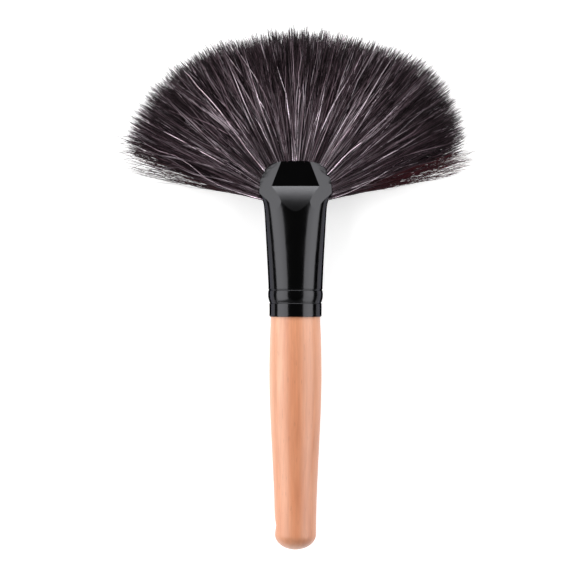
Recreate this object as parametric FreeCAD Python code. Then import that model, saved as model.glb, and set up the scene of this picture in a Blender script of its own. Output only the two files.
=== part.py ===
import FreeCAD, Part
import math
import os

# A large fan make-up brush, lying flat as it rests on a table.
#
# Four pieces: a turned wooden handle, a pressed black aluminium ferrule that grips
# the handle's tenon, the glue plug that holds the hair roots inside the ferrule,
# and the bundle of dark hair that leaves the flattened mouth as a wide fan.
#
# The brush's axis runs along Y with the hair at +Y, X is the width of the fan and
# Z its thickness. While a piece is made, the origin is on the axis at the ferrule's
# lower edge. The finished pieces are moved so that the origin is under the middle
# of the whole brush, on the surface that it lies on. All sizes are in millimetres.

# Handle: a slim barrel with its belly just below the ferrule and a domed butt
handle_length = 72.2
belly_radius = 8.1
belly_below_ferrule = 17.5
waist_radius = 7.3
waist_below_ferrule = 41.0
butt_radius = 6.4
butt_dome_height = 4.8
neck_flare = 0.05
tenon_length = 17.5
tenon_chamfer = 0.8

# Ferrule: round collar with two rolled crimps and a swelling between them
sheet_thickness = 0.45
collar_radius = 8.1
shank_radius = 8.4
lower_crimp_at = 4.3
crimp_spacing = 4.0
crimp_half_width = 0.28
crimp_depth = 0.15
bead_height = 0.08
collar_length = 9.4

# Ferrule: the shank above the collar, pressed from round to flat. Each row holds a share
# of the shank's length, the half width and half thickness there as shares of its radius,
# and how square its oval is
shank_length = 30.9
ellipse = math.sqrt(0.5)
pressing = (
    (0.00, 1.000, 1.000, ellipse),
    (0.21, 1.031, 0.976, ellipse),
    (0.54, 1.101, 0.905, 0.73),
    (0.78, 1.145, 0.810, 0.80),
    (0.87, 1.196, 0.730, 0.90),
    (0.94, 1.435, 0.620, 0.96),
    (1.00, 1.488, 0.520, 1.00),
    (1.12, 1.524, 0.470, 1.10),
    (1.33, 1.583, 0.430, 1.10),
)

# Ferrule: what the closing jaws press into each side of its head. A curved ramp runs down
# to a flat that narrows to the lip, with a slope falling away from either edge of the flat
flat_half_thickness = 3.3
flat_half_width = 7.4
flat_half_width_at_lip = 4.4
flat_lean = 0.15
slope_angle = 26.5
ramp_length = 12.0
ramp_start_half_thickness = 7.55
ramp_start_angle = 3.0
ramp_end_angle = 32.0

# Ferrule: the arched lip, a squared-off ellipse about the point that the hair fans from
fan_centre_below_flat = 4.2
lip_half_width = 11.2
lip_height = 11.95
lip_squareness = 3.6

# Glue plug and hair roots
crimp_fit = 0.03
glue_fit = 0.04
hair_fit = 0.12
glue_depth = 11.5
lip_gap = 0.2
root_overlap = 1.4

# Hair fan: free lengths from the lip at shares of the way from its middle to its edges,
# how far its edge leans, and its half thickness
hair_lengths = ((0.0, 41.5), (0.30, 41.7), (0.50, 44.6), (0.75, 46.2), (0.90, 45.2), (1.0, 41.6))
edge_hair_lean = 77.0
bulge_half_thickness = 8.5
side_bulge_share = 0.42
edge_fullness = 0.14

# Hair fan: how full it is, at shares of the way from the lip to the tips
fullness = ((0.0, 0.0), (0.10, 0.34), (0.24, 0.74), (0.42, 1.0), (0.62, 0.96), (0.82, 0.66), (0.93, 0.40))

# Hair fan: pointed locks, the hollows between them and how unevenly they end
lock_count = 76
hollow_depth = 0.16
hollow_run = 0.1
lock_unevenness = 0.05
notch_length = 2.7
length_scatter = 1.7
tip_scatter = 2.3
lock_drift = 0.30

# Heights along the axis, from the ferrule's lower edge
upper_crimp_at = lower_crimp_at + crimp_spacing
flat_starts_at = collar_length + shank_length
fan_centre_at = flat_starts_at - fan_centre_below_flat
roots_at = tenon_length + glue_depth
lip_at = fan_centre_at + lip_height
shank_rows = [
    (collar_length + share * shank_length, wide * shank_radius, thick * shank_radius)
    for share, wide, thick, square in pressing
]
past_lip = shank_rows[-1][0]

# Where the finished brush lies
overall_length = handle_length + lip_at + hair_lengths[0][1]
joint_y = handle_length - overall_length / 2
axis_z = max(belly_radius, shank_radius + bead_height, bulge_half_thickness)

X, Y, Z = FreeCAD.Vector(1, 0, 0), FreeCAD.Vector(0, 1, 0), FreeCAD.Vector(0, 0, 1)
AXIS_POINT = FreeCAD.Vector(0, 0, 0)
FAR = 60.0


def at(x, y, z=0.0):
    return FreeCAD.Vector(x, y, z)


def line(a, b):
    return Part.LineSegment(a, b).toShape()


def turned(edges):
    """The solid that a half outline in the XY plane makes when it is turned about the axis."""
    return Part.Face(Part.Wire(edges)).revolve(AXIS_POINT, Y, 360)


def slab(low, high):
    """Everything between two heights along the axis."""
    return Part.makeBox(2 * FAR, high - low, 2 * FAR, at(-FAR, low, -FAR))


def solid_inside(skin):
    """The solid that a closed skin holds, with its faces turned outwards."""
    solid = Part.Solid(skin)
    if solid.Volume < 0:
        solid.reverse()
    return solid


def collar_edges(inset):
    """The collar's outline from its lower edge up, as far inside the outer skin as inset says."""
    crimp_radius = (crimp_half_width ** 2 + crimp_depth ** 2) / (2 * crimp_depth) + inset
    half = math.sqrt(crimp_radius ** 2 - (crimp_radius - crimp_depth) ** 2)
    low, high = collar_radius - inset, shank_radius - inset
    crest = max(low, high) + bead_height
    start, end = at(low, 0), at(high, collar_length)
    below_lower, above_lower = at(low, lower_crimp_at - half), at(low, lower_crimp_at + half)
    below_upper, above_upper = at(high, upper_crimp_at - half), at(high, upper_crimp_at + half)
    edges = [
        line(start, below_lower),
        Part.Arc(below_lower, at(low - crimp_depth, lower_crimp_at), above_lower).toShape(),
        Part.Arc(above_lower, at(crest, (lower_crimp_at + upper_crimp_at) / 2), below_upper).toShape(),
        Part.Arc(below_upper, at(high - crimp_depth, upper_crimp_at), above_upper).toShape(),
        line(above_upper, end),
    ]
    return edges, start, end


def collar_form(inset):
    """The collar as a full round solid, from the ferrule's lower edge to the start of the shank."""
    outline, start, end = collar_edges(inset)
    top, bottom = at(0, end.y), at(0, start.y)
    return turned(outline + [line(end, top), line(top, bottom), line(bottom, start)])


def clamped_knots(count):
    """Knots and their multiplicities for a cubic curve over this many rows, ending on the outer two."""
    spans = count - 3
    return list(range(spans + 1)), [4] + [1] * (spans - 1) + [4]


def blend_rows(rows, where):
    """The value at where in rows of (place, value), with straight runs between them."""
    for (a, va), (b, vb) in zip(rows, rows[1:]):
        if where <= b:
            break
    return va + (vb - va) * (where - a) / (b - a)


def shank_half_sizes(height):
    """The shank's half width and half thickness at this height along the axis."""
    knots, counts = clamped_knots(len(shank_rows))
    guide = Part.BSplineCurve()
    guide.buildFromPolesMultsKnots([at(a, y, b) for y, a, b in shank_rows], counts, knots, False, 3)
    points = guide.discretize(80)
    wide = blend_rows([(p.y, p.x) for p in points], height)
    thick = blend_rows([(p.y, p.z) for p in points], height)
    return wide, thick


def shank_form(inset):
    """The shank as a full solid, whose oval section follows the rows from the round collar up."""
    # An ellipse as eight rational poles about the axis, closed on the first
    ring = ((1, 0), (1, 1), (0, 1), (-1, 1), (-1, 0), (-1, -1), (0, -1), (1, -1), (1, 0))
    poles = [[at((a - inset) * x, y, (b - inset) * z) for y, a, b in shank_rows] for x, z in ring]
    weights = [[square if x and z else 1.0 for share, wide, thick, square in pressing] for x, z in ring]
    knots, counts = clamped_knots(len(shank_rows))
    skin = Part.BSplineSurface()
    skin.buildFromPolesMultsKnots(
        poles, [3, 2, 2, 2, 3], counts, list(range(5)), knots, False, False, 2, 3, weights)
    ends = [Part.Face(Part.Wire(skin.vIso(v).toShape())) for v in (knots[0], knots[-1])]
    shell = Part.makeShell([skin.toShape()] + ends)
    shell.sewShape()
    return solid_inside(shell)


def jaws(inset):
    """What the closing jaws take away above and below the head, moved in towards the axis by inset."""
    near = at(flat_half_width, flat_starts_at, flat_half_thickness)
    far = at(flat_half_width_at_lip, lip_at, flat_half_thickness - flat_lean)
    edge = far - near
    # The ramp curves down to the near edge of the flat, from above the shank
    start_slope = math.tan(math.radians(ramp_start_angle))
    end_slope = math.tan(math.radians(ramp_end_angle))
    start = at(0, near.y - ramp_length, ramp_start_half_thickness)
    run = (start.z - near.z - start_slope * ramp_length) / (end_slope - start_slope)
    pole = at(0, near.y - run, near.z + end_slope * run)
    crease = at(0, near.y, near.z)
    back = crease + at(0, edge.y, edge.z) * 3
    ramp = Part.BezierCurve()
    ramp.setPoles([start, pole, crease])
    outline = [back, at(0, back.y, FAR), at(0, start.y, FAR), start]
    rest = [line(crease, back)] + [line(a, b) for a, b in zip(outline, outline[1:])]
    top = Part.Face(Part.Wire([ramp.toShape()] + rest)).extrude(X * 2 * FAR)
    top.translate(at(-FAR, -inset * math.tan(math.radians(ramp_end_angle / 2)), -inset))
    # The slope is flat too, and falls away from the edge of the flat
    fall = math.radians(slope_angle)
    down = at(math.cos(fall), 0, -math.sin(fall))
    up = down.cross(edge).normalize()
    corners = [near - edge * 3 - down * FAR, near + edge * 3 - down * FAR]
    corners += [near + edge * 3 + down * FAR, near - edge * 3 + down * FAR]
    slope = Part.Face(Part.makePolygon(corners + corners[:1])).extrude(up * FAR)
    slope.translate(up * -inset)
    above = [top, slope, slope.mirror(AXIS_POINT, X)]
    return above + [block.mirror(AXIS_POINT, Z) for block in above]


def lip_point(angle, offset=0.0):
    """The point of the lip in this direction from the point that the hair fans from."""
    wide, high = lip_half_width + offset, lip_height + offset
    across, along = abs(math.cos(angle)) / wide, abs(math.sin(angle)) / high
    reach = (across ** lip_squareness + along ** lip_squareness) ** (-1 / lip_squareness)
    return at(reach * math.cos(angle), fan_centre_at + reach * math.sin(angle))


def lip_prism(offset):
    """All that stays below the arched lip when it is cut, right through the thickness."""
    steps = 24
    points = [lip_point(math.pi * i / steps, offset) for i in range(steps + 1)]
    arch = Part.BSplineCurve()
    arch.interpolate(points)
    right, left = points[0], points[-1]
    corners = [left, at(-FAR, left.y), at(-FAR, -1), at(FAR, -1), at(FAR, right.y), right]
    sides = [line(a, b) for a, b in zip(corners, corners[1:])]
    prism = Part.Face(Part.Wire([arch.toShape()] + sides)).extrude(Z * 2 * FAR)
    prism.translate(Z * -FAR)
    return prism


def bore_form(inset):
    """The whole of the ferrule as a full solid, open past the lip, with its skin moved in by inset."""
    return collar_form(inset).fuse(shank_form(inset).cut(jaws(inset))).removeSplitter()


def make_ferrule():
    return bore_form(0).common(lip_prism(0)).cut(bore_form(sheet_thickness))


def make_handle():
    """The barrel and the tenon in one turned piece, with the crimps' seats in the tenon."""
    fit = sheet_thickness + crimp_fit
    collar, neck, collar_end = collar_edges(fit)
    # Above the collar the tenon tapers as the ferrule starts to flatten
    tenon_end_radius = shank_half_sizes(tenon_length)[1] - fit
    tenon_side = at(tenon_end_radius, tenon_length - tenon_chamfer)
    tenon_top = at(tenon_end_radius - tenon_chamfer, tenon_length)
    belly, waist = at(belly_radius, -belly_below_ferrule), at(waist_radius, -waist_below_ferrule)
    shoulder, butt = at(butt_radius, butt_dome_height - handle_length), at(0, -handle_length)
    side = Part.BSplineCurve()
    side.interpolate(
        Points=[neck, belly, waist, shoulder],
        Tangents=[at(neck_flare, -1), -Y, -Y, -Y],
        TangentFlags=[True, True, False, True])
    # A quarter ellipse as a curve with four poles
    round_off = 0.5523
    dome = Part.BezierCurve()
    dome.setPoles([
        shoulder,
        at(butt_radius, shoulder.y - round_off * butt_dome_height),
        at(round_off * butt_radius, -handle_length),
        butt,
    ])
    top = at(0, tenon_length)
    tenon = [line(butt, top), line(top, tenon_top), line(tenon_top, tenon_side), line(tenon_side, collar_end)]
    return turned([side.toShape(), dome.toShape()] + tenon + collar[::-1])


def make_glue_plug():
    """Set glue from the tenon's end to the hair roots, filling the bore."""
    return bore_form(sheet_thickness + glue_fit).common(slab(tenon_length, roots_at))


def height_inside(form, point):
    """Half of a form's thickness at a point of the fan's plane, or nothing outside the form."""
    probe = form.common(line(point, point + Z * FAR))
    return probe.BoundBox.ZMax if probe.Edges else 0.0


def hair_ring(j, bore):
    """The fan's outline on its line j: out along the front to the tip, and home along the back."""
    last = 2 * lock_count
    u = 2 * j / last - 1
    if 0 < j < last:
        u += lock_drift * scatter(j, 1) * 2 / last
    on_lock = j % 2 == 1
    start = lip_point(math.radians(90 - 90 * u), lip_gap)
    angle = math.radians(90 - edge_hair_lean * u)
    heading = at(math.cos(angle), math.sin(angle))
    length = blend_rows(hair_lengths, abs(u)) - length_scatter * (1 + scatter(j, 2)) / 2
    length -= 0 if on_lock else notch_length
    lean = tip_scatter * scatter(j, 3) * (1 - abs(u) ** 3)
    mouth = max(height_inside(bore, start), sheet_thickness)
    bulge = bulge_half_thickness * (side_bulge_share + (1 - side_bulge_share) * (1 - u ** 4))
    rounding = edge_fullness + (1 - edge_fullness) * math.sqrt(max(0.0, 1 - abs(u) ** 6))
    sides = []
    for face in (1, -1):
        depth = (0 if on_lock else hollow_depth) + lock_unevenness * (1 + scatter(j, 5 + face)) / 2
        for share, full in fullness:
            thick = (mouth + (bulge - mouth) * full) * rounding * (1 - depth * min(1, share / hollow_run))
            room = bulge_half_thickness - thick
            centre = max(-room, min(room, lean * share ** 3))
            point = start + heading * (length * share)
            sides.append(at(point.x, point.y, centre + face * thick))
    front, back = sides[:len(fullness)], sides[len(fullness):]
    tip = start + heading * length
    return front + [at(tip.x, tip.y, lean)] + back[::-1]


def scatter(index, seed):
    """A repeatable uneven number from -1 to 1 for the line with this index."""
    return 2 * math.modf(abs(math.sin(index * 12.9898 + seed * 78.233)) * 43758.5453)[0] - 1


def patch(a, b, c, d):
    """A four-cornered patch of the skin as two triangles."""
    return [(a, b, c), (a, c, d)]


def make_fan():
    """The spread hair beyond the lip, as one closed skin of long ridged facets."""
    bore = bore_form(sheet_thickness)
    rings = [hair_ring(j, bore) for j in range(2 * lock_count + 1)]
    size = len(rings[0])
    facets = []
    for first in range(0, (len(rings) - 1) * size, size):
        for k in range(size):
            a, b = first + k, first + (k + 1) % size
            facets += patch(a, a + size, b + size, b)
    tip = size // 2
    for first, turn in ((0, 1), ((len(rings) - 1) * size, -1)):
        edge = [(first + tip - 1, first + tip, first + tip + 1)]
        for k in range(tip - 1):
            a, b = first + k, first + size - 1 - k
            edge += patch(a, a + 1, b - 1, b)
        facets += [corners[::turn] for corners in edge]
    skin = Part.Shape()
    skin.makeShapeFromMesh(([p for ring in rings for p in ring], facets), 0.001)
    return solid_inside(skin)


def make_hair():
    """The roots packed in the ferrule's head, joined to the fan that they open into."""
    packed = bore_form(sheet_thickness + hair_fit).common(slab(roots_at, past_lip))
    return packed.common(lip_prism(lip_gap + root_overlap)).fuse(make_fan())


def export(name, shape):
    """Moves a piece to where the finished brush lies and writes its file."""
    solid = shape.Solids[0]
    solid.translate(at(0, joint_y, axis_z))
    solid.exportStep(f"parts/{name}.step")
    print(f"{name}: {len(shape.Solids)} solid, {len(solid.Faces)} faces, {solid.Volume:.0f} mm3")


os.makedirs("parts", exist_ok=True)
export("handle", make_handle())
export("ferrule", make_ferrule())
export("glue_plug", make_glue_plug())
export("hair_fan", make_hair())
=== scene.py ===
import bpy
import math
import numpy as np
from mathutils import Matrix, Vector


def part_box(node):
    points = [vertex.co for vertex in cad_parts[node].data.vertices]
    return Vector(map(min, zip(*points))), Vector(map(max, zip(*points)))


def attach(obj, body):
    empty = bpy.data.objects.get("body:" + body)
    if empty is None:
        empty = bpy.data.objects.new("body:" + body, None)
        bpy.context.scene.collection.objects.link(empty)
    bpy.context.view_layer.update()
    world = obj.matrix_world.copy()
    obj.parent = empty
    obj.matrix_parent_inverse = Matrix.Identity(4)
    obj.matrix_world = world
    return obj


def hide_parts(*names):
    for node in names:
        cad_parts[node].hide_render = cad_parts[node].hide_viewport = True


# A large fan make-up brush seen from straight above: the wooden handle, the black
# ferrule and the hidden glue plug keep their own shapes and get their finishes here.
# The hair is made hair by hair, around a dark core, in place of its plain solid.
# All sizes are in metres.

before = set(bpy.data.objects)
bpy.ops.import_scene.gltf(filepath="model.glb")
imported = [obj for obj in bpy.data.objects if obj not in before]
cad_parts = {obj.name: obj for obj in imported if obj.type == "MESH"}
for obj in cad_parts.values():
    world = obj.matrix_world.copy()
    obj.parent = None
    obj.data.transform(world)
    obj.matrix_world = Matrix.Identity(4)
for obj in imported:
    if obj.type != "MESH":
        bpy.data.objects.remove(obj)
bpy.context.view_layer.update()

HANDLE_LOW, HANDLE_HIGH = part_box("handle")
FERRULE_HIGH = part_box("ferrule")[1]
HAIR_LOW, HAIR_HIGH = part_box("hair_fan")
AXIS_Z = (HANDLE_LOW.z + HANDLE_HIGH.z) / 2

# Ferrule's mouth: a lip cut as a squared-off ellipse. Inside, its faces are flat in the middle
# and close in towards the sides
LIP_HALF_WIDTH = FERRULE_HIGH.x
LIP_HEIGHT = 0.01195
LIP_SQUARENESS = 3.6
FAN_CENTRE_Y = FERRULE_HIGH.y - LIP_HEIGHT
FLAT_START_Y = FAN_CENTRE_Y + 0.0042
FLAT_HALF_WIDTH = 0.0074
FLAT_HALF_WIDTH_AT_LIP = 0.0044
MOUTH_HALF_THICKNESS = 0.0025
MOUTH_HALF_THICKNESS_LEAST = 0.0004
SLOPE_BESIDE_FLAT = math.tan(math.radians(26.5))
ROOT_DEPTH = 0.0015

# Fan: longest hairs past the lip at places from its left edge, -1, to its right edge, 1, and how
# far the outermost hair leans
LENGTH_PLACES = (-1.0, -0.94, -0.88, -0.70, -0.50, -0.30, -0.20, 0.0, 0.30, 0.50, 0.60, 0.75, 0.88, 1.0)
HAIR_LENGTHS = (
    0.0435, 0.0478, 0.0487, 0.0479, 0.0458, 0.0443, 0.0433,
    0.0440, 0.0441, 0.0481, 0.0500, 0.0500, 0.0487, 0.0458)
EDGE_HAIR_LEAN = math.radians(77.0)

# The fan's bulge: a little less than the plain solid's, so that no hair sinks into the floor, and
# flatter towards the sides. Then how full it is at shares of the way to the tips
BULGE_SHARE = 0.985
BULGE_HALF_THICKNESS = BULGE_SHARE * (HAIR_HIGH.z - HAIR_LOW.z) / 2
SIDE_BULGE_SHARE = 0.42
EDGE_ROUNDING = 0.16
FULLNESS_PLACES = (0.0, 0.035, 0.13, 0.26, 0.42, 0.62, 0.82, 1.0)
FULLNESS = (0.0, 0.0, 0.38, 0.76, 1.0, 0.94, 0.66, 0.42)

# Hairs: layers through the fan as (name, depth, share of the full length), tufts across it,
# strands in a tuft and hairs in a strand. A hair's radius, its least and greatest share of that,
# how much it loses at the tip, and the places along a hair
LAYERS = (
    ("back", -0.93, 0.91),
    ("rear", -0.50, 0.96),
    ("middle", 0.0, 1.0),
    ("fore", 0.50, 0.96),
    ("front", 0.93, 0.91))
TUFTS_ACROSS = 170
TUFT_SPACING = 2 / TUFTS_ACROSS
STRANDS_IN_TUFT = 10
HAIRS_IN_STRAND = 2
HAIR_RADIUS = 0.000073
HAIR_RADII = (0.75, 1.15)
HAIR_TAPER = 0.45
HAIR_PLACES = (0.0, 0.08, 0.20, 0.32, 0.45, 0.58, 0.71, 0.84, 0.94, 1.0)

# How far tufts stray from even places, in tufts, how deep they lie and how short some are
TUFT_SCATTER = 0.38
TUFT_DEPTH_SCATTER = 0.06
TUFT_SHORTENING = 0.045

# How far a strand's root and tip lie from its tuft, in tufts, the share of strands that come from
# further off and cross their neighbours, and from where to where along the way they close up
ROOT_SCATTER = 2.0
CROSSING_SHARE = 0.42
CROSSING_SCATTER = 6.5
TIP_SCATTER = 0.38
EDGE_TIP_SPREAD = 3
CLOSING = (0.25, 0.98)
CROSSING_CLOSING = (-0.1, 1.1)

# How deep strands lie beside their tuft, how far pale ones are lifted to the outside, short
# ones, and waves as (swing, fewest turns, most turns)
ROOT_DEPTH_SCATTER = 0.035
TIP_DEPTH_SCATTER = 0.05
PALE_LIFT = 0.030
LIFT_TONES = (-1.5, 2.5)
SHORT_SHARE = 0.07
SHORT_SHARE_AT_EDGE = 0.25
SHORTENING = (0.05, 0.5)
STRAND_LENGTH_SCATTER = 0.028
WAVES = ((0.0065, 0.5, 1.4), (0.0032, 1.8, 3.6))
WAVE_RISE = (0.0, 0.45)
EDGE_ZONE = (0.80, 0.95)

# How much shorter a hair is than its strand at most, how far off its strand's middle it lies, how
# much closer it comes at the tip, and how much further off it goes there at the fan's edges
HAIR_SHORTENING = 0.045
HAIR_ASIDE = 0.000060
HAIR_ABOVE = 0.00003
ABOVE_RISE = (0.0, 0.15)
TIP_GATHERING = 0.8
EDGE_HAIR_SPREAD = 2

# How thick the tufts stand across the fan: they thin out at its two lower edges, where single
# wavy hairs take over
DENSITY_PLACES = (-1.0, -0.965, -0.915, -0.84, 0.87, 0.93, 0.98, 1.0)
DENSITY = (0.0, 0.04, 0.28, 1.0, 1.0, 0.35, 0.06, 0.0)
DENSITY_STEPS = 401

# Strays: how many make up the two edges and the outline, the share of them at the left, where
# each edge starts and how wide it is. A crowding above 1 brings its hairs closer to the fan
EDGE_HAIR_COUNT = 330
OUTLINE_HAIR_COUNT = 90
LEFT_SHARE = 0.48
LEFT_EDGE_START = -0.88
LEFT_EDGE_WIDTH = 0.150
LEFT_CROWDING = 1.5
RIGHT_EDGE_START = 0.925
RIGHT_EDGE_WIDTH = 0.100
RIGHT_CROWDING = 0.9
OUTLINE_REACH = 0.9
STRAY_RADIUS = 0.000074
STRAY_RADII = (0.6, 1.3)
STRAY_TAPER = 0.4
STRAY_PLACES = 15
STRAY_ROOT_SCATTER = 0.03
STRAY_CLOSING = (0.0, 0.8)
STRAY_DEPTH = 0.9
STRAY_LENGTHS = (0.88, 1.03)
SHORT_STRAY_SHARE = 0.60
SHORT_STRAY_LENGTHS = (0.4, 0.9)
STRAY_SWING = 0.006
EDGE_STRAY_SWING = 0.012
STRAY_TURNS = (1.0, 2.6)

# Core: its share of the fan's thickness, how far it reaches across and along, from where across
# it grows shorter and by how much, and how much of its thickness it loses at its end
CORE_LINES = 120
CORE_STEPS = 12
CORE_SHARE = 0.62
CORE_REACH = 0.82
CORE_LENGTH = 0.82
CORE_SHOULDER = 0.6
CORE_SIDE_LOSS = 0.35
CORE_END_LOSS = 0.7
CORE_COLOUR = (0.016, 0.008, 0.011, 1.0)

# Colours as they look under plain light, from 0 to 1: the hue of the darkest and the palest
# hairs, the tone from which that is pale, the middle tone near the lip, and how far tones differ
# from tuft to tuft, between bundles of roots, from strand to strand, and (middle, spread) from
# hair to hair
DARK_HUE = (1.0, 0.52, 0.70)
PALE_HUE = (1.0, 0.86, 0.95)
PALE_FROM = 0.35
HAIR_TONE = 0.047
TUFT_TONE_SPREAD = 0.35
ROOT_TONE_SPREAD = 0.45
ROOT_BUNDLES = 90
ROOT_TONE_FADE = (0.05, 0.50)
STRAND_TONE_SPREAD = 1.20
SINGLE_HAIR_TONE = (-0.08, 0.65)
DARKEST_TONE = 0.004
PALEST_TONE = 0.75
STRAY_TONE = 0.028
STRAY_TONE_SPREAD = 0.9

# How tones change along a hair, at shares of the way, how painted glints swing and turn along it,
# and the share of strands with a painted glint at the tip. How tones change across the fan, and
# swing there in sectors as painted sheen
TONE_PLACES = (0.0, 0.19, 0.47, 0.73, 0.90, 1.0)
TONE_ALONG = (1.02, 1.0, 0.68, 0.54, 0.42, 0.36)
PAINTED_GLINT_SWING = (0.3, 1.1)
PAINTED_GLINT_TURNS = (1.0, 3.8)
PAINTED_TIP_GLINT_SHARE = 0.05
PAINTED_TIP_GLINT_START = 0.9
PAINTED_TIP_GLINT_TONE = 0.35
TONE_SIDES = (-1.0, -0.90, -0.75, -0.60, -0.40, -0.20, 0.0, 0.20, 0.39, 0.60, 0.75, 0.90, 1.0)
TONE_ACROSS = (1.60, 1.40, 0.98, 0.92, 1.30, 1.00, 0.82, 1.00, 1.95, 0.98, 0.74, 0.72, 0.82)
PAINTED_SECTOR_SWING = 0.25

# Red hairs at the fan's lower right edge and among the strays: from where across and along, and
# how red they are
RED_HAIR = (0.110, 0.014, 0.020)
RED_SIDE = (0.915, 0.95)
RED_ALONG = (0.30, 0.55)
REDNESS = (0.15, 0.75)
STRAY_RED_ALONG = (0.2, 0.5)
STRAY_REDNESS = 0.8
LEFT_REDNESS = 0.6

# The name of the hairs' own colour, painted glints and sheen included, in their meshes, and the seeds of
# their random draws
COLOUR_ATTRIBUTE = "hair_colour"
LAYER_SEED = 40
STRAY_SEED = 77

# Camera: straight above, with the photograph's scale at the brush's axis, and with that axis and
# the butt's end at the photograph's places
PHOTO_PIXELS = 576
METRES_PER_PIXEL = 0.00031
AXIS_PIXEL_X = 295.5
BUTT_PIXEL_Y = 549.5
LENS = 150.0
SENSOR = 36.0

# Lamps beyond the hair: angles from straight up, and how bright each is
HEAD_LAMPS = ((54, 1.0), (59, 2.4), (64, 4.6), (69, 8.5))

# Floor: its side, and how white it looks by itself. Cards start this far above it
FLOOR_SIZE = 8.0
FLOOR_GLOW = 0.50
CARD_CLEARANCE = 0.0006

# The colour inputs and the result of a Mix node that mixes colours
MIX_FIRST, MIX_SECOND, MIX_RESULT = 6, 7, 2


def linear(red, green, blue):
    """A colour given from 0 to 255, as the light that it stands for."""
    def one(value):
        value /= 255
        return value / 12.92 if value <= 0.04045 else ((value + 0.055) / 1.055) ** 2.4
    return one(red), one(green), one(blue), 1.0


# Node helpers

def put(tree, kind, settings=None, **values):
    """Adds a node, with its settings and the values of its named inputs. An underscore is a space."""
    made = tree.nodes.new(kind)
    for name, value in (settings or {}).items():
        setattr(made, name, value)
    for name, value in values.items():
        made.inputs[name.replace("_", " ")].default_value = value
    return made


def join(tree, source, output, target, entry):
    """Links an output of one node to an input of another."""
    tree.links.new(source.outputs[output], target.inputs[entry])


def spread(tree, source, output, start, end, low=0.0, high=1.0):
    """Brings a value from the range start to end into the range low to high."""
    ranged = put(tree, "ShaderNodeMapRange", From_Min=start, From_Max=end, To_Min=low, To_Max=high)
    join(tree, source, output, ranged, "Value")
    return ranged


def combine(tree, operation, first, first_output, second, second_output):
    """Two values multiplied, or the greater of them."""
    made = put(tree, "ShaderNodeMath", {"operation": operation})
    join(tree, first, first_output, made, 0)
    join(tree, second, second_output, made, 1)
    return made


def start_material(name):
    """A new material with its tree and its one shader."""
    material = bpy.data.materials.new(name)
    material.use_nodes = True
    return material, material.node_tree, material.node_tree.nodes["Principled BSDF"]


def colour_steps(tree, steps):
    """A colour ramp through (place, colour) pairs."""
    ramp = put(tree, "ShaderNodeValToRGB")
    ramp.color_ramp.elements.remove(ramp.color_ramp.elements[1])
    for index, (place, colour) in enumerate(steps):
        spot = ramp.color_ramp.elements[0] if index == 0 else ramp.color_ramp.elements.new(place)
        spot.position = place
        spot.color = colour
    return ramp


def make_fine_unevenness():
    """A group that puts out the slow and fine unevenness that any handled, polished surface has."""
    group = bpy.data.node_groups.new("fine_unevenness", "ShaderNodeTree")
    for name, default in (
            ("Smoothest", 0.2),
            ("Dullest", 0.3),
            ("Patch Scale", 120.0),
            ("Speck Scale", 2500.0)):
        socket = group.interface.new_socket(name, in_out="INPUT", socket_type="NodeSocketFloat")
        socket.default_value = default
    for name in ("Roughness", "Specks"):
        group.interface.new_socket(name, in_out="OUTPUT", socket_type="NodeSocketFloat")
    entry, leave = put(group, "NodeGroupInput"), put(group, "NodeGroupOutput")
    place = put(group, "ShaderNodeTexCoord")
    patches = put(group, "ShaderNodeTexNoise", Detail=3.0, Roughness=0.6)
    specks = put(group, "ShaderNodeTexNoise", Detail=2.0, Roughness=0.5)
    for noise, scale in ((patches, "Patch Scale"), (specks, "Speck Scale")):
        join(group, place, "Object", noise, "Vector")
        join(group, entry, scale, noise, "Scale")
    roughness = spread(group, patches, "Fac", 0.3, 0.7)
    join(group, entry, "Smoothest", roughness, "To Min")
    join(group, entry, "Dullest", roughness, "To Max")
    join(group, roughness, "Result", leave, "Roughness")
    join(group, specks, "Fac", leave, "Specks")


def add_unevenness(tree, shader, smoothest, dullest, patch_scale, speck_scale, speck_height):
    """Places the unevenness group in a material: its roughness, and specks as a slight bump."""
    group = put(tree, "ShaderNodeGroup", {"node_tree": bpy.data.node_groups["fine_unevenness"]})
    for name, value in (
            ("Smoothest", smoothest),
            ("Dullest", dullest),
            ("Patch Scale", patch_scale),
            ("Speck Scale", speck_scale)):
        group.inputs[name].default_value = value
    join(tree, group, "Roughness", shader, "Roughness")
    bump = put(tree, "ShaderNodeBump", Strength=1.0, Distance=speck_height)
    join(tree, group, "Specks", bump, "Height")
    join(tree, bump, "Normal", shader, "Normal")


# Finishes

def grain(tree, place, scale, detail, stretch):
    """Noise drawn out along the handle."""
    drawn = put(tree, "ShaderNodeMapping", Scale=(1.0, 1.0 / stretch, 1.0))
    join(tree, place, "Object", drawn, "Vector")
    noise = put(tree, "ShaderNodeTexNoise", Scale=scale, Detail=detail, Roughness=0.6)
    join(tree, drawn, "Vector", noise, "Vector")
    return noise


def paint_side_light(tree, place, colour, output, tint, x_from, x_to, y_from, y_to):
    """Paints light or shade on one side: multiplies a colour by a tint, fully past x_to and y_to and not
    at all before the other two.
    """
    parts = put(tree, "ShaderNodeSeparateXYZ")
    join(tree, place, "Object", parts, "Vector")
    across = spread(tree, parts, "X", x_from, x_to)
    along = spread(tree, parts, "Y", y_from, y_to)
    both = combine(tree, "MULTIPLY", across, "Result", along, "Result")
    mix = put(tree, "ShaderNodeMix", {"data_type": "RGBA", "blend_type": "MULTIPLY"})
    join(tree, both, "Value", mix, "Factor")
    join(tree, colour, output, mix, MIX_FIRST)
    mix.inputs[MIX_SECOND].default_value = tint
    return mix


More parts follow.
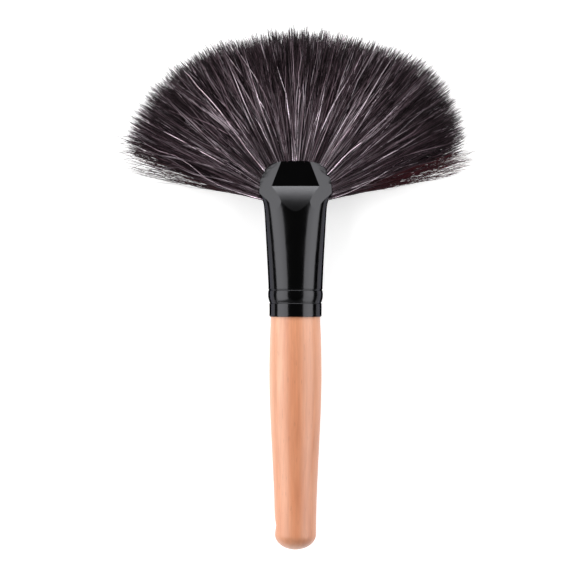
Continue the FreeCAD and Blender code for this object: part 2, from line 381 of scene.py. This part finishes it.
def make_wood():
    """Pale peach wood with long faint grain and small dashes, under a satin clear lacquer, with a painted
    highlight on its upper left side and painted shade on its lower right.
    """
    material, tree, shader = start_material("lacquered_wood")
    place = put(tree, "ShaderNodeTexCoord")
    figure = grain(tree, place, scale=170.0, detail=4.0, stretch=9.0)
    fibres = grain(tree, place, scale=1500.0, detail=3.0, stretch=26.0)
    dashes = grain(tree, place, scale=1900.0, detail=1.0, stretch=7.0)
    clouds = grain(tree, place, scale=45.0, detail=2.0, stretch=2.5)
    tone = colour_steps(tree, (
        (0.30, linear(201, 128, 90)),
        (0.50, linear(215, 146, 108)),
        (0.72, linear(225, 161, 125))))
    join(tree, figure, "Fac", tone, "Fac")
    fibre_tone = spread(tree, fibres, "Fac", 0.35, 0.65, low=0.93, high=1.04)
    cloud_tone = spread(tree, clouds, "Fac", 0.3, 0.7, low=0.93, high=1.03)
    dash_tone = spread(tree, dashes, "Fac", 0.66, 0.76, low=1.0, high=0.84)
    two_tones = combine(tree, "MULTIPLY", fibre_tone, "Result", cloud_tone, "Result")
    all_tones = combine(tree, "MULTIPLY", two_tones, "Value", dash_tone, "Result")
    # Painted light: the upper left side is made paler as a painted highlight, and the lower right darker
    # as painted shade
    painted_highlight_left = paint_side_light(
        tree, place, tone, "Color", tint=(1.09, 1.28, 1.46, 1.0),
        x_from=-0.0030, x_to=-0.0052, y_from=-0.062, y_to=-0.015)
    painted_shade_right = paint_side_light(
        tree, place, painted_highlight_left, MIX_RESULT, tint=(0.84, 0.79, 0.75, 1.0),
        x_from=0.0004, x_to=0.0030, y_from=0.0, y_to=-0.048)
    shaded = put(tree, "ShaderNodeVectorMath", {"operation": "SCALE"})
    join(tree, painted_shade_right, MIX_RESULT, shaded, 0)
    join(tree, all_tones, "Value", shaded, "Scale")
    join(tree, shaded, "Vector", shader, "Base Color")
    shader.inputs["Coat Weight"].default_value = 0.55
    shader.inputs["Coat Roughness"].default_value = 0.36
    shader.inputs["IOR"].default_value = 1.5
    add_unevenness(
        tree, shader,
        smoothest=0.36, dullest=0.46, patch_scale=90.0, speck_scale=900.0, speck_height=0.000004)
    return material


def make_ferrule_black():
    """Black anodised aluminium, polished, with a soft sheen."""
    material, tree, shader = start_material("black_anodised")
    shader.inputs["Base Color"].default_value = (0.036, 0.036, 0.038, 1.0)
    shader.inputs["Metallic"].default_value = 1.0
    shader.inputs["Specular Tint"].default_value = (0.60, 0.60, 0.66, 1.0)
    add_unevenness(
        tree, shader,
        smoothest=0.13, dullest=0.18, patch_scale=160.0, speck_scale=3200.0, speck_height=0.0000006)
    return material


def make_set_glue():
    """Amber set resin, which shows only where the brush is cut open."""
    material, tree, shader = start_material("set_glue")
    shader.inputs["Base Color"].default_value = (0.42, 0.28, 0.13, 1.0)
    add_unevenness(
        tree, shader,
        smoothest=0.3, dullest=0.5, patch_scale=200.0, speck_scale=1500.0, speck_height=0.00002)
    return material


def make_hair_finish():
    """Soft dark hair, whose colour, painted glints and sheen included, comes from each hair's own
    attribute.
    """
    material, tree, shader = start_material("brush_hair")
    colour = put(tree, "ShaderNodeAttribute", {"attribute_name": COLOUR_ATTRIBUTE})
    join(tree, colour, "Color", shader, "Base Color")
    shader.inputs["Roughness"].default_value = 0.45
    shader.inputs["IOR"].default_value = 1.20
    return material


def dress(node, material):
    """Gives a node of the frame its finish."""
    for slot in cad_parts[node].material_slots:
        slot.material = material


# Hair

def lip_points(u, offset):
    """The lip's points in plan for places u across the fan, from -1 to 1, moved out by offset."""
    angle = np.pi / 2 * (1 - np.clip(u, -1, 1))
    wide, high = LIP_HALF_WIDTH + offset, LIP_HEIGHT + offset
    across = np.abs(np.cos(angle)) / wide
    along = np.abs(np.sin(angle)) / high
    reach = (across ** LIP_SQUARENESS + along ** LIP_SQUARENESS) ** (-1 / LIP_SQUARENESS)
    return reach * np.cos(angle), FAN_CENTRE_Y + reach * np.sin(angle)


def longest_hair(u):
    """The longest hair past the lip at the place u."""
    return np.interp(u, LENGTH_PLACES, HAIR_LENGTHS)


def mouth_half_thickness(u):
    """How far the ferrule's faces stand from the middle plane, inside the lip at the place u."""
    x, y = lip_points(u, 0)
    past_start = (y - FLAT_START_Y) / (FERRULE_HIGH.y - FLAT_START_Y)
    flat = FLAT_HALF_WIDTH + (FLAT_HALF_WIDTH_AT_LIP - FLAT_HALF_WIDTH) * past_start
    lost = SLOPE_BESIDE_FLAT * np.maximum(np.abs(x) - flat, 0)
    return np.maximum(MOUTH_HALF_THICKNESS - lost, MOUTH_HALF_THICKNESS_LEAST)


def fan_half_thickness(u, share):
    """The fan's half thickness at the place u, at this share of the way to the tips."""
    aside = np.clip(np.abs(u), 0, 1)
    mouth = mouth_half_thickness(u)
    full = BULGE_HALF_THICKNESS * (SIDE_BULGE_SHARE + (1 - SIDE_BULGE_SHARE) * (1 - aside ** 4))
    rounding = EDGE_ROUNDING + (1 - EDGE_ROUNDING) * np.sqrt(1 - aside ** 6)
    return mouth + (full * rounding - mouth) * np.interp(share, FULLNESS_PLACES, FULLNESS)


def hair_heading(u):
    """The way that the hairs at the place u point, as an angle from +X."""
    return np.pi / 2 - EDGE_HAIR_LEAN * u


def hair_centres(u, w, length, share):
    """Points of hairs at the place u across and w through the fan, share of the way along."""
    start_x, start_y = lip_points(u, -ROOT_DEPTH)
    heading = hair_heading(u)
    reach = (length + ROOT_DEPTH) * share
    x = start_x + reach * np.cos(heading)
    y = start_y + reach * np.sin(heading)
    z = AXIS_Z + w * fan_half_thickness(u, share)
    return np.stack([x, y, z], axis=-1)


def smooth_rise(value, low, high):
    """0 up to low, 1 from high on, and a smooth step between."""
    t = np.clip((value - low) / (high - low), 0, 1)
    return t * t * (3 - 2 * t)


def scatter_tufts(random, depth, reach):
    """The places across the fan, the depths and the lengths of one layer's tufts."""
    across = np.linspace(-1, 1, DENSITY_STEPS)
    filled = np.cumsum(np.interp(across, DENSITY_PLACES, DENSITY))
    scatter = random.uniform(-TUFT_SCATTER, TUFT_SCATTER, TUFTS_ACROSS)
    even = (np.arange(TUFTS_ACROSS) + 0.5 + scatter) / TUFTS_ACROSS
    u = np.interp(even, filled / filled[-1], across)
    w = depth + random.uniform(-TUFT_DEPTH_SCATTER, TUFT_DEPTH_SCATTER, TUFTS_ACROSS)
    length = reach * (1 - random.uniform(0.0, TUFT_SHORTENING, TUFTS_ACROSS))
    return u, w, length


def lay_strands(random, depth, tufts, share):
    """The strands of one layer: their ways across and through the fan, tips, lengths and tones.

    Each starts near its tuft and closes up to it towards the tip. Some come from further off and
    cross their neighbours on the way, and some are short.
    """
    tuft = np.repeat(np.arange(TUFTS_ACROSS), STRANDS_IN_TUFT)
    tuft_u, tuft_w, tuft_length = (values[tuft] for values in tufts)
    count = len(tuft)
    edge = smooth_rise(np.abs(tuft_u), *EDGE_ZONE)
    crosses = random.uniform(0, 1, count) < CROSSING_SHARE
    root_scatter = TUFT_SPACING * np.where(crosses, CROSSING_SCATTER, ROOT_SCATTER)
    root_u = np.clip(tuft_u + random.normal(0, 1, count) * root_scatter, -1, 1)
    tip_scatter = TUFT_SPACING * (1 + EDGE_TIP_SPREAD * edge)
    tip_u = tuft_u + random.normal(0, TIP_SCATTER, count) * tip_scatter
    tuft_tone = TUFT_TONE_SPREAD * random.normal(0, 1, TUFTS_ACROSS)
    tone = tuft_tone[tuft] + STRAND_TONE_SPREAD * random.normal(0, 1, count)
    lift = PALE_LIFT * np.clip(tone, *LIFT_TONES) * np.sign(depth)
    root_w = tuft_w + random.normal(0, ROOT_DEPTH_SCATTER, count) + lift
    tip_w = tuft_w + random.normal(0, TIP_DEPTH_SCATTER, count)
    is_short = random.uniform(0, 1, count) < SHORT_SHARE + SHORT_SHARE_AT_EDGE * edge
    shortening = is_short * random.uniform(*SHORTENING, count)
    uneven = 1 - np.abs(random.normal(0, STRAND_LENGTH_SCATTER, count))
    length = longest_hair(tip_u) * tuft_length * uneven * (1 - shortening)
    bundle = ((root_u + 1) / 2 * (ROOT_BUNDLES - 1)).astype(int)
    root_tone = ROOT_TONE_SPREAD * random.normal(0, 1, ROOT_BUNDLES)[bundle]
    close = np.where(
        crosses[:, None],
        smooth_rise(share, *CROSSING_CLOSING),
        smooth_rise(share, *CLOSING))
    u = root_u[:, None] + (tip_u - root_u)[:, None] * close
    w = np.clip(root_w[:, None] + (tip_w - root_w)[:, None] * close, -1, 1)
    for swing, fewest, most in WAVES:
        u = u + waves(random, count, share, swing * (1 + edge), fewest, most)
    return u, w, edge, tip_u, length, tone, root_tone


def part_strands(random, u, w, edge, length, share):
    """The hairs of each strand, which lie side by side and run together at its tip."""
    count = len(length)
    length = length * (1 - random.uniform(0, HAIR_SHORTENING, count))
    points = hair_centres(u, w, length[:, None], share)
    gather = (1 - TIP_GATHERING * share ** 2) * (1 + EDGE_HAIR_SPREAD * edge[:, None] * share)
    aside = random.normal(0, HAIR_ASIDE, (count, 1)) * gather
    points[..., 0] += aside * np.sin(hair_heading(u))
    points[..., 1] -= aside * np.cos(hair_heading(u))
    points[..., 2] += random.normal(0, HAIR_ABOVE, (count, 1)) * gather * smooth_rise(share, *ABOVE_RISE)
    radius = HAIR_RADIUS * random.uniform(*HAIR_RADII, (count, 1)) * (1 - HAIR_TAPER * share ** 4)
    return points, radius


def comb_layer(seed, depth, reach):
    """All hairs of one layer: their points along the way, their radii and their colours."""
    random = np.random.default_rng(seed)
    share = np.array(HAIR_PLACES)[None, :]
    tufts = scatter_tufts(random, depth, reach)
    u, w, edge, tip_u, length, tone, root_tone = lay_strands(random, depth, tufts, share)
    strand = np.repeat(np.arange(len(tip_u)), HAIRS_IN_STRAND)
    points, radius = part_strands(random, u[strand], w[strand], edge[strand], length[strand], share)
    return points, radius, hair_colours_and_painted_light(random, tip_u, tone, root_tone, strand, share)


def waves(random, count, share, swing, fewest, most):
    """A wave across the way for each of count strands, which grows from the lip on."""
    phase = random.uniform(0, 2 * np.pi, (count, 1))
    turns = random.uniform(fewest, most, (count, 1))
    size = (np.abs(random.normal(0, 1, count)) * swing)[:, None]
    return size * np.sin(phase + 2 * np.pi * turns * share) * smooth_rise(share, *WAVE_RISE)


def painted_sector_sheen(u):
    """Painted sheen: slow swings of tone across the fan, around 1, that stand for the light catching it
    in sectors.
    """
    return 1 + PAINTED_SECTOR_SWING * np.sin(23.0 * u + 1.5 * np.sin(9.0 * u + 0.7)) * np.cos(7.0 * u + 0.4)


def toned(tone):
    """The colour of hair of this tone: reddish black when dark, and nearly grey when pale."""
    pale = np.clip(tone / PALE_FROM, 0, 1)[..., None] ** 0.5
    hue = np.array(DARK_HUE) * (1 - pale) + np.array(PALE_HUE) * pale
    return (tone[..., None] + DARKEST_TONE) * hue


def hair_colours_and_painted_light(random, u, tone, root_tone, strand, share):
    """Pale and dark strands side by side, paler near the ferrule, with painted glints along them and at
    some tips, and painted sheen in some sectors of the fan.
    """
    count = len(u)
    # Painted sheen: the tone swings across the fan in sectors where the light would catch it
    tone = HAIR_TONE * np.exp(tone) * np.interp(u, TONE_SIDES, TONE_ACROSS) * painted_sector_sheen(u)
    # Painted glints: the tone swings up and down along each hair, as if it caught the light where it
    # turns
    swing = random.uniform(*PAINTED_GLINT_SWING, (count, 1))
    phase = random.uniform(0, 2 * np.pi, (count, 1))
    turns = random.uniform(*PAINTED_GLINT_TURNS, (count, 1))
    painted_glint = swing * np.sin(phase + 2 * np.pi * turns * share)
    near_root = root_tone[:, None] * (1 - smooth_rise(share, *ROOT_TONE_FADE))
    tone = tone[:, None] * np.interp(share, TONE_PLACES, TONE_ALONG) * np.exp(painted_glint + near_root)
    # Painted glints: some strands get pale tips that stand for light glinting at the fan's outline
    painted_tip_glints = (random.uniform(0, 1, count) < PAINTED_TIP_GLINT_SHARE)[:, None] * (share > PAINTED_TIP_GLINT_START)
    tone = np.where(painted_tip_glints, np.maximum(tone, PAINTED_TIP_GLINT_TONE), tone)
    colour = toned(np.minimum(tone, PALEST_TONE))

    # Towards the fan's lower right edge the strands turn dark red on the way out
    redness = random.uniform(*REDNESS, count)
    is_red = random.uniform(0, 1, count) < smooth_rise(u, *RED_SIDE)
    redness = ((redness * is_red)[:, None] * smooth_rise(share, *RED_ALONG))[:, :, None]
    colour = (colour + (np.array(RED_HAIR) - colour) * redness)[strand]
    colour = colour * np.exp(random.normal(*SINGLE_HAIR_TONE, (len(strand), 1, 1)))
    return opaque(colour)


def opaque(colour):
    """Colours with a fourth value of 1 after red, green and blue."""
    return np.concatenate([colour, np.ones(colour.shape[:2] + (1,))], axis=-1)


def comb_strays(seed):
    """Single thin wavy hairs that make up the fan's two lower edges and stand off its outline."""
    random = np.random.default_rng(seed)
    count = EDGE_HAIR_COUNT + OUTLINE_HAIR_COUNT
    share = np.linspace(0, 1, STRAY_PLACES)[None, :]
    at_edge = np.arange(count) < EDGE_HAIR_COUNT
    left = random.uniform(0, 1, count) < LEFT_SHARE
    out = random.uniform(0, 1, count) ** np.where(left, LEFT_CROWDING, RIGHT_CROWDING)
    edge_u = np.where(
        left,
        LEFT_EDGE_START - LEFT_EDGE_WIDTH * out,
        RIGHT_EDGE_START + RIGHT_EDGE_WIDTH * out)
    tip_u = np.where(at_edge, edge_u, random.uniform(-OUTLINE_REACH, OUTLINE_REACH, count))
    root_u = np.clip(tip_u + random.normal(0, STRAY_ROOT_SCATTER, count), -1, 1)
    u = root_u[:, None] + (tip_u - root_u)[:, None] * smooth_rise(share, *STRAY_CLOSING)
    u = u + waves(random, count, share, np.where(at_edge, EDGE_STRAY_SWING, STRAY_SWING), *STRAY_TURNS)
    w = random.uniform(-STRAY_DEPTH, STRAY_DEPTH, count)[:, None] * np.ones_like(share)
    short = at_edge & (random.uniform(0, 1, count) < SHORT_STRAY_SHARE)
    short_share = random.uniform(*SHORT_STRAY_LENGTHS, count)
    full_share = random.uniform(*STRAY_LENGTHS, count)
    length = longest_hair(np.clip(tip_u, -1, 1)) * np.where(short, short_share, full_share)
    points = hair_centres(u, w, length[:, None], share)
    radius = STRAY_RADIUS * random.uniform(*STRAY_RADII, (count, 1)) * (1 - STRAY_TAPER * share)
    tone = STRAY_TONE * np.exp(random.normal(0, STRAY_TONE_SPREAD, (count, 1)))
    colour = toned(tone * np.ones((1, STRAY_PLACES)))
    redness = at_edge * random.uniform(0, STRAY_REDNESS, count) * np.where(left, LEFT_REDNESS, 1.0)
    redness = redness[:, None, None] * smooth_rise(share, *STRAY_RED_ALONG)[:, :, None]
    colour = colour + (np.array(RED_HAIR) - colour) * redness
    return points, radius, opaque(colour)


def hair_mesh(name, points, radius, colour):
    """Closed three-sided hairs that run to a point, as one mesh with a colour at each point."""
    count, rings = points.shape[0], points.shape[1] - 1
    ahead = np.gradient(points, axis=1)
    ahead /= np.linalg.norm(ahead, axis=-1, keepdims=True)
    sideways = np.cross(ahead, np.array([0.0, 0.0, 1.0]))
    sideways /= np.linalg.norm(sideways, axis=-1, keepdims=True)
    upward = np.cross(sideways, ahead)
    turn = (np.arange(3) * 2 * np.pi / 3 + np.pi / 2)[:, None]
    outward = np.cos(turn) * sideways[:, :rings, None, :] + np.sin(turn) * upward[:, :rings, None, :]
    ring = points[:, :rings, None, :] + radius[:, :rings, None, None] * outward
    per_hair = rings * 3 + 1
    vertices = np.concatenate([ring.reshape(count, rings * 3, 3), points[:, -1:, :]], axis=1)
    colours = np.concatenate([np.repeat(colour[:, :rings], 3, axis=1), colour[:, -1:]], axis=1)

    # The faces of one hair, then of all: root cap, sides, and the point
    quads = []
    for r in range(rings - 1):
        for k in range(3):
            n = (k + 1) % 3
            quads.append((r * 3 + k, r * 3 + n, r * 3 + 3 + n, r * 3 + 3 + k))
    last = (rings - 1) * 3
    triangles = [(0, 2, 1)] + [(last + k, last + (k + 1) % 3, rings * 3) for k in range(3)]
    first = (np.arange(count) * per_hair)[:, None, None]
    quad_corners = (np.array(quads)[None] + first).reshape(count, -1)
    triangle_corners = (np.array(triangles)[None] + first).reshape(count, -1)
    corners = np.concatenate([quad_corners, triangle_corners], axis=1).ravel()
    sizes = np.tile([4] * len(quads) + [3] * len(triangles), count)
    return mesh_from(name, vertices.reshape(-1, 3), corners, sizes, colours.reshape(-1, 4))


def mesh_from(name, vertices, corners, sizes, colours):
    """A smooth mesh object from arrays of points, face corners and face sizes."""
    mesh = bpy.data.meshes.new(name)
    mesh.vertices.add(len(vertices))
    mesh.vertices.foreach_set("co", vertices.astype(np.float32).ravel())
    mesh.loops.add(len(corners))
    mesh.loops.foreach_set("vertex_index", corners.astype(np.int32))
    mesh.polygons.add(len(sizes))
    starts = np.concatenate([[0], np.cumsum(sizes)[:-1]])
    mesh.polygons.foreach_set("loop_start", starts.astype(np.int32))
    mesh.polygons.foreach_set("use_smooth", np.ones(len(sizes), dtype=bool))
    attribute = mesh.attributes.new(COLOUR_ATTRIBUTE, "FLOAT_COLOR", "POINT")
    attribute.data.foreach_set("color", colours.astype(np.float32).ravel())
    mesh.update(calc_edges=True)
    mesh.validate()
    made = bpy.data.objects.new(name, mesh)
    bpy.context.scene.collection.objects.link(made)
    return made


def make_core():
    """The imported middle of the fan, as a closed dark form that no light comes through."""
    lines, steps = CORE_LINES, CORE_STEPS
    u = np.linspace(-CORE_REACH, CORE_REACH, lines)[:, None]
    side_share = 1 - CORE_SIDE_LOSS * smooth_rise(np.abs(u), CORE_SHOULDER, CORE_REACH)
    share = np.linspace(0.0, CORE_LENGTH, steps)[None, :] * side_share
    length = longest_hair(u) * np.ones_like(share)
    depth = CORE_SHARE * (1 - CORE_END_LOSS * share ** 4)
    front = hair_centres(u, depth, length, share)
    back = hair_centres(u, -depth, length, share)
    loop = np.concatenate([front, back[:, ::-1]], axis=1)
    around = 2 * steps
    quads = []
    for j in range(lines - 1):
        for k in range(around):
            n = (k + 1) % around
            quads.append((j * around + k, j * around + n, (j + 1) * around + n, (j + 1) * around + k))
    for first, turn in ((0, -1), ((lines - 1) * around, 1)):
        for k in range(steps - 1):
            side = (first + k, first + k + 1, first + around - 2 - k, first + around - 1 - k)
            quads.append(side[::turn])
    corners = np.array(quads)[:, ::-1].ravel()
    colours = np.tile(CORE_COLOUR, (lines * around, 1))
    return mesh_from("hair_core", loop.reshape(-1, 3), corners, np.full(len(quads), 4), colours)


def make_hair():
    """The fan: a dark core, layers of hairs and strays, all in place of the frame's plain fan."""
    finish = make_hair_finish()
    pieces = [make_core(), hair_mesh("hair_strays", *comb_strays(STRAY_SEED))]
    for number, (name, depth, reach) in enumerate(LAYERS):
        pieces.append(hair_mesh("hair_" + name, *comb_layer(LAYER_SEED + number, depth, reach)))
    for piece in pieces:
        piece.data.materials.append(finish)
        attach(piece, "root")
        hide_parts("hair_fan")


# Stage

def make_floor():
    """A plain white floor that keeps the brush's shadow."""
    bpy.ops.mesh.primitive_plane_add(size=FLOOR_SIZE, location=(0, 0, 0))
    floor = bpy.context.active_object
    floor.name = "floor"
    material, tree, shader = start_material("white_floor")
    shader.inputs["Base Color"].default_value = (0.86, 0.86, 0.86, 1.0)
    shader.inputs["Roughness"].default_value = 1.0
    shader.inputs["Specular IOR Level"].default_value = 0.0
    path = put(tree, "ShaderNodeLightPath")
    seen = combine(tree, "MAXIMUM", path, "Is Camera Ray", path, "Is Glossy Ray")
    seen_at_all = combine(tree, "MAXIMUM", seen, "Value", path, "Is Transmission Ray")
    glow = put(tree, "ShaderNodeMath", {"operation": "MULTIPLY"})
    glow.inputs[1].default_value = FLOOR_GLOW
    join(tree, seen_at_all, "Value", glow, 0)
    shader.inputs["Emission Color"].default_value = (1.0, 1.0, 1.0, 1.0)
    join(tree, glow, "Value", shader, "Emission Strength")
    floor.data.materials.append(material)


def make_room():
    """Pale walls, dimmer beyond the butt, and a dark ceiling, so that black metal stays black on top."""
    world = bpy.data.worlds.new("room")
    bpy.context.scene.world = world
    world.use_nodes = True
    tree = world.node_tree
    background = tree.nodes["Background"]
    place = put(tree, "ShaderNodeTexCoord")
    parts = put(tree, "ShaderNodeSeparateXYZ")
    join(tree, place, "Generated", parts, "Vector")
    walls = colour_steps(tree, (
        (0.0, (1.0, 1.0, 1.0, 1.0)),
        (math.sin(math.radians(30)), (1.0, 1.0, 1.0, 1.0)),
        (math.sin(math.radians(45)), (0.5, 0.5, 0.5, 1.0)),
        (math.sin(math.radians(60)), (0.06, 0.06, 0.06, 1.0))))
    join(tree, parts, "Z", walls, "Fac")
    join(tree, walls, "Color", background, "Color")
    brightness = spread(tree, parts, "Y", -1.0, -0.15, low=0.30, high=1.0)
    join(tree, brightness, "Result", background, "Strength")


def make_black_card():
    """Black card that doesn't shine."""
    material, _, shader = start_material("black_card")
    shader.inputs["Base Color"].default_value = (0.0, 0.0, 0.0, 1.0)
    shader.inputs["Roughness"].default_value = 1.0
    shader.inputs["Specular IOR Level"].default_value = 0.0
    return material


def add_flag(name, finish, side, near, far, height, low_end, high_end):
    """A card that rises from the floor beside the brush, seen only in what shines.

    Side is -1 for the left and 1 for the right. Near and far are measured from the brush's axis.
    """
    slant = math.hypot(far - near, height)
    middle = (side * (near + far) / 2, (low_end + high_end) / 2, CARD_CLEARANCE + height / 2)
    bpy.ops.mesh.primitive_plane_add(size=1.0, location=middle)
    flag = bpy.context.active_object
    flag.name = name
    flag.scale = (slant, high_end - low_end, 1.0)
    flag.rotation_euler = (0.0, -side * math.asin(height / slant), 0.0)
    flag.data.materials.append(finish)
    flag.visible_camera = False
    flag.visible_diffuse = False
    flag.visible_shadow = False


def add_softbox(name, side, zenith, distance, width, length, radiance, along=0.0):
    """A lamp with a plain even face, moved along the brush by along.

    Side is its compass angle from +X, and zenith its angle from straight up.
    """
    side, zenith = math.radians(side), math.radians(zenith)
    towards = Vector((
        math.cos(side) * math.sin(zenith),
        math.sin(side) * math.sin(zenith),
        math.cos(zenith)))
    data = bpy.data.lights.new(name, "AREA")
    data.shape = "RECTANGLE"
    data.size = length
    data.size_y = width
    data.energy = radiance * math.pi * width * length
    lamp = bpy.data.objects.new(name, data)
    bpy.context.scene.collection.objects.link(lamp)
    lamp.location = Vector((0, along, AXIS_Z)) + towards * distance
    lamp.rotation_euler = towards.to_track_quat("Z", "Y").to_euler()
    return lamp


def add_flags():
    """Two large cards, and two flat ones near the brush for the thin dark rims of the ferrule."""
    card = make_black_card()
    add_flag("left_flag", card, -1, near=0.055, far=0.34, height=0.034, low_end=-0.04, high_end=0.27)
    add_flag("right_flag", card, 1, near=0.055, far=0.34, height=0.061, low_end=-0.07, high_end=0.27)
    for name, side in (("left_rim_flag", -1), ("right_rim_flag", 1)):
        add_flag(name, card, side, near=0.0092, far=0.018, height=0.0004, low_end=-0.0085, high_end=0.028)


def add_lamps():
    """Soft lamps on either side and beyond the hair. Beside the handle one shines and one lights."""
    add_softbox(
        "left_softbox", 180, 60.1, distance=0.50, width=0.494, length=0.68, radiance=2.6, along=0.09)
    right = {"side": 0, "zenith": 57.8, "distance": 0.50, "width": 0.444}
    add_softbox("right_softbox", **right, length=0.50, radiance=2.6, along=0.20)
    shine = add_softbox("right_handle_softbox", **right, length=0.30, radiance=2.4, along=-0.20)
    shine.visible_diffuse = False
    fill = add_softbox("right_handle_fill", **right, length=0.14, radiance=0.75, along=-0.12)
    fill.visible_glossy = False
    for number, (zenith, radiance) in enumerate(HEAD_LAMPS):
        name = f"head_softbox_{number}"
        add_softbox(name, 90, zenith, distance=0.60, width=0.055, length=0.50, radiance=radiance)


def add_camera():
    """Straight above the brush, with the photograph's middle and scale."""
    data = bpy.data.cameras.new("camera")
    data.lens = LENS
    data.sensor_width = SENSOR
    camera = bpy.data.objects.new("camera", data)
    bpy.context.scene.collection.objects.link(camera)
    width = PHOTO_PIXELS * METRES_PER_PIXEL
    middle_x = (PHOTO_PIXELS / 2 - AXIS_PIXEL_X) * METRES_PER_PIXEL
    middle_y = HANDLE_LOW.y + (BUTT_PIXEL_Y - PHOTO_PIXELS / 2) * METRES_PER_PIXEL
    camera.location = (middle_x, middle_y, AXIS_Z + width * LENS / SENSOR)
    bpy.context.scene.camera = camera


make_fine_unevenness()
dress("handle", make_wood())
dress("ferrule", make_ferrule_black())
dress("glue_plug", make_set_glue())
make_hair()
make_floor()
make_room()
add_flags()
add_lamps()
add_camera()
bpy.context.scene.view_settings.view_transform = "Standard"
